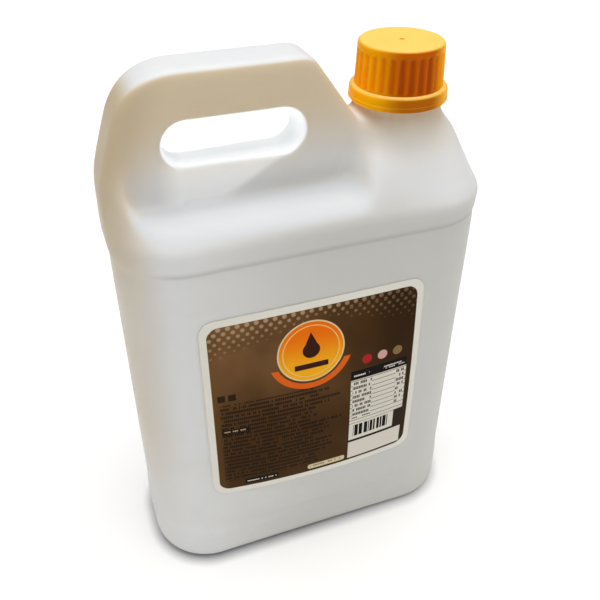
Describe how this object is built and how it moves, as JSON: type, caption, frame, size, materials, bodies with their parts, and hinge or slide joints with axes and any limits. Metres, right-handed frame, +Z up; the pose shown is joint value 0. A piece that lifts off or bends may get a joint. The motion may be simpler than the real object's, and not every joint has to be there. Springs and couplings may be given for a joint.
{
  "type": "soy sauce bottle",
  "caption": "Blow-moulded white plastic can of soy sauce with a handle moulded into its shoulder, an offset neck, a ribbed screw cap, a tamper ring and a printed front label.",
  "frame": {"origin": "middle of the flat base, where the can stands", "axes": "+Z up, -Y towards the labelled front, +X from the handle towards the cap"},
  "size_m": [0.2172, 0.1122, 0.3279],
  "materials": {
    "white_hdpe": "satin, natural white blow-moulded polyethylene",
    "amber_polyethylene": "glossy moulded amber-orange plastic",
    "printed_label": "satin printed film"
  },
  "bodies": {
    "root": {"jug": "white_hdpe", "cap": "amber_polyethylene", "tamper_ring": "amber_polyethylene", "label": "printed_label"}
  },
  "joints": []
}
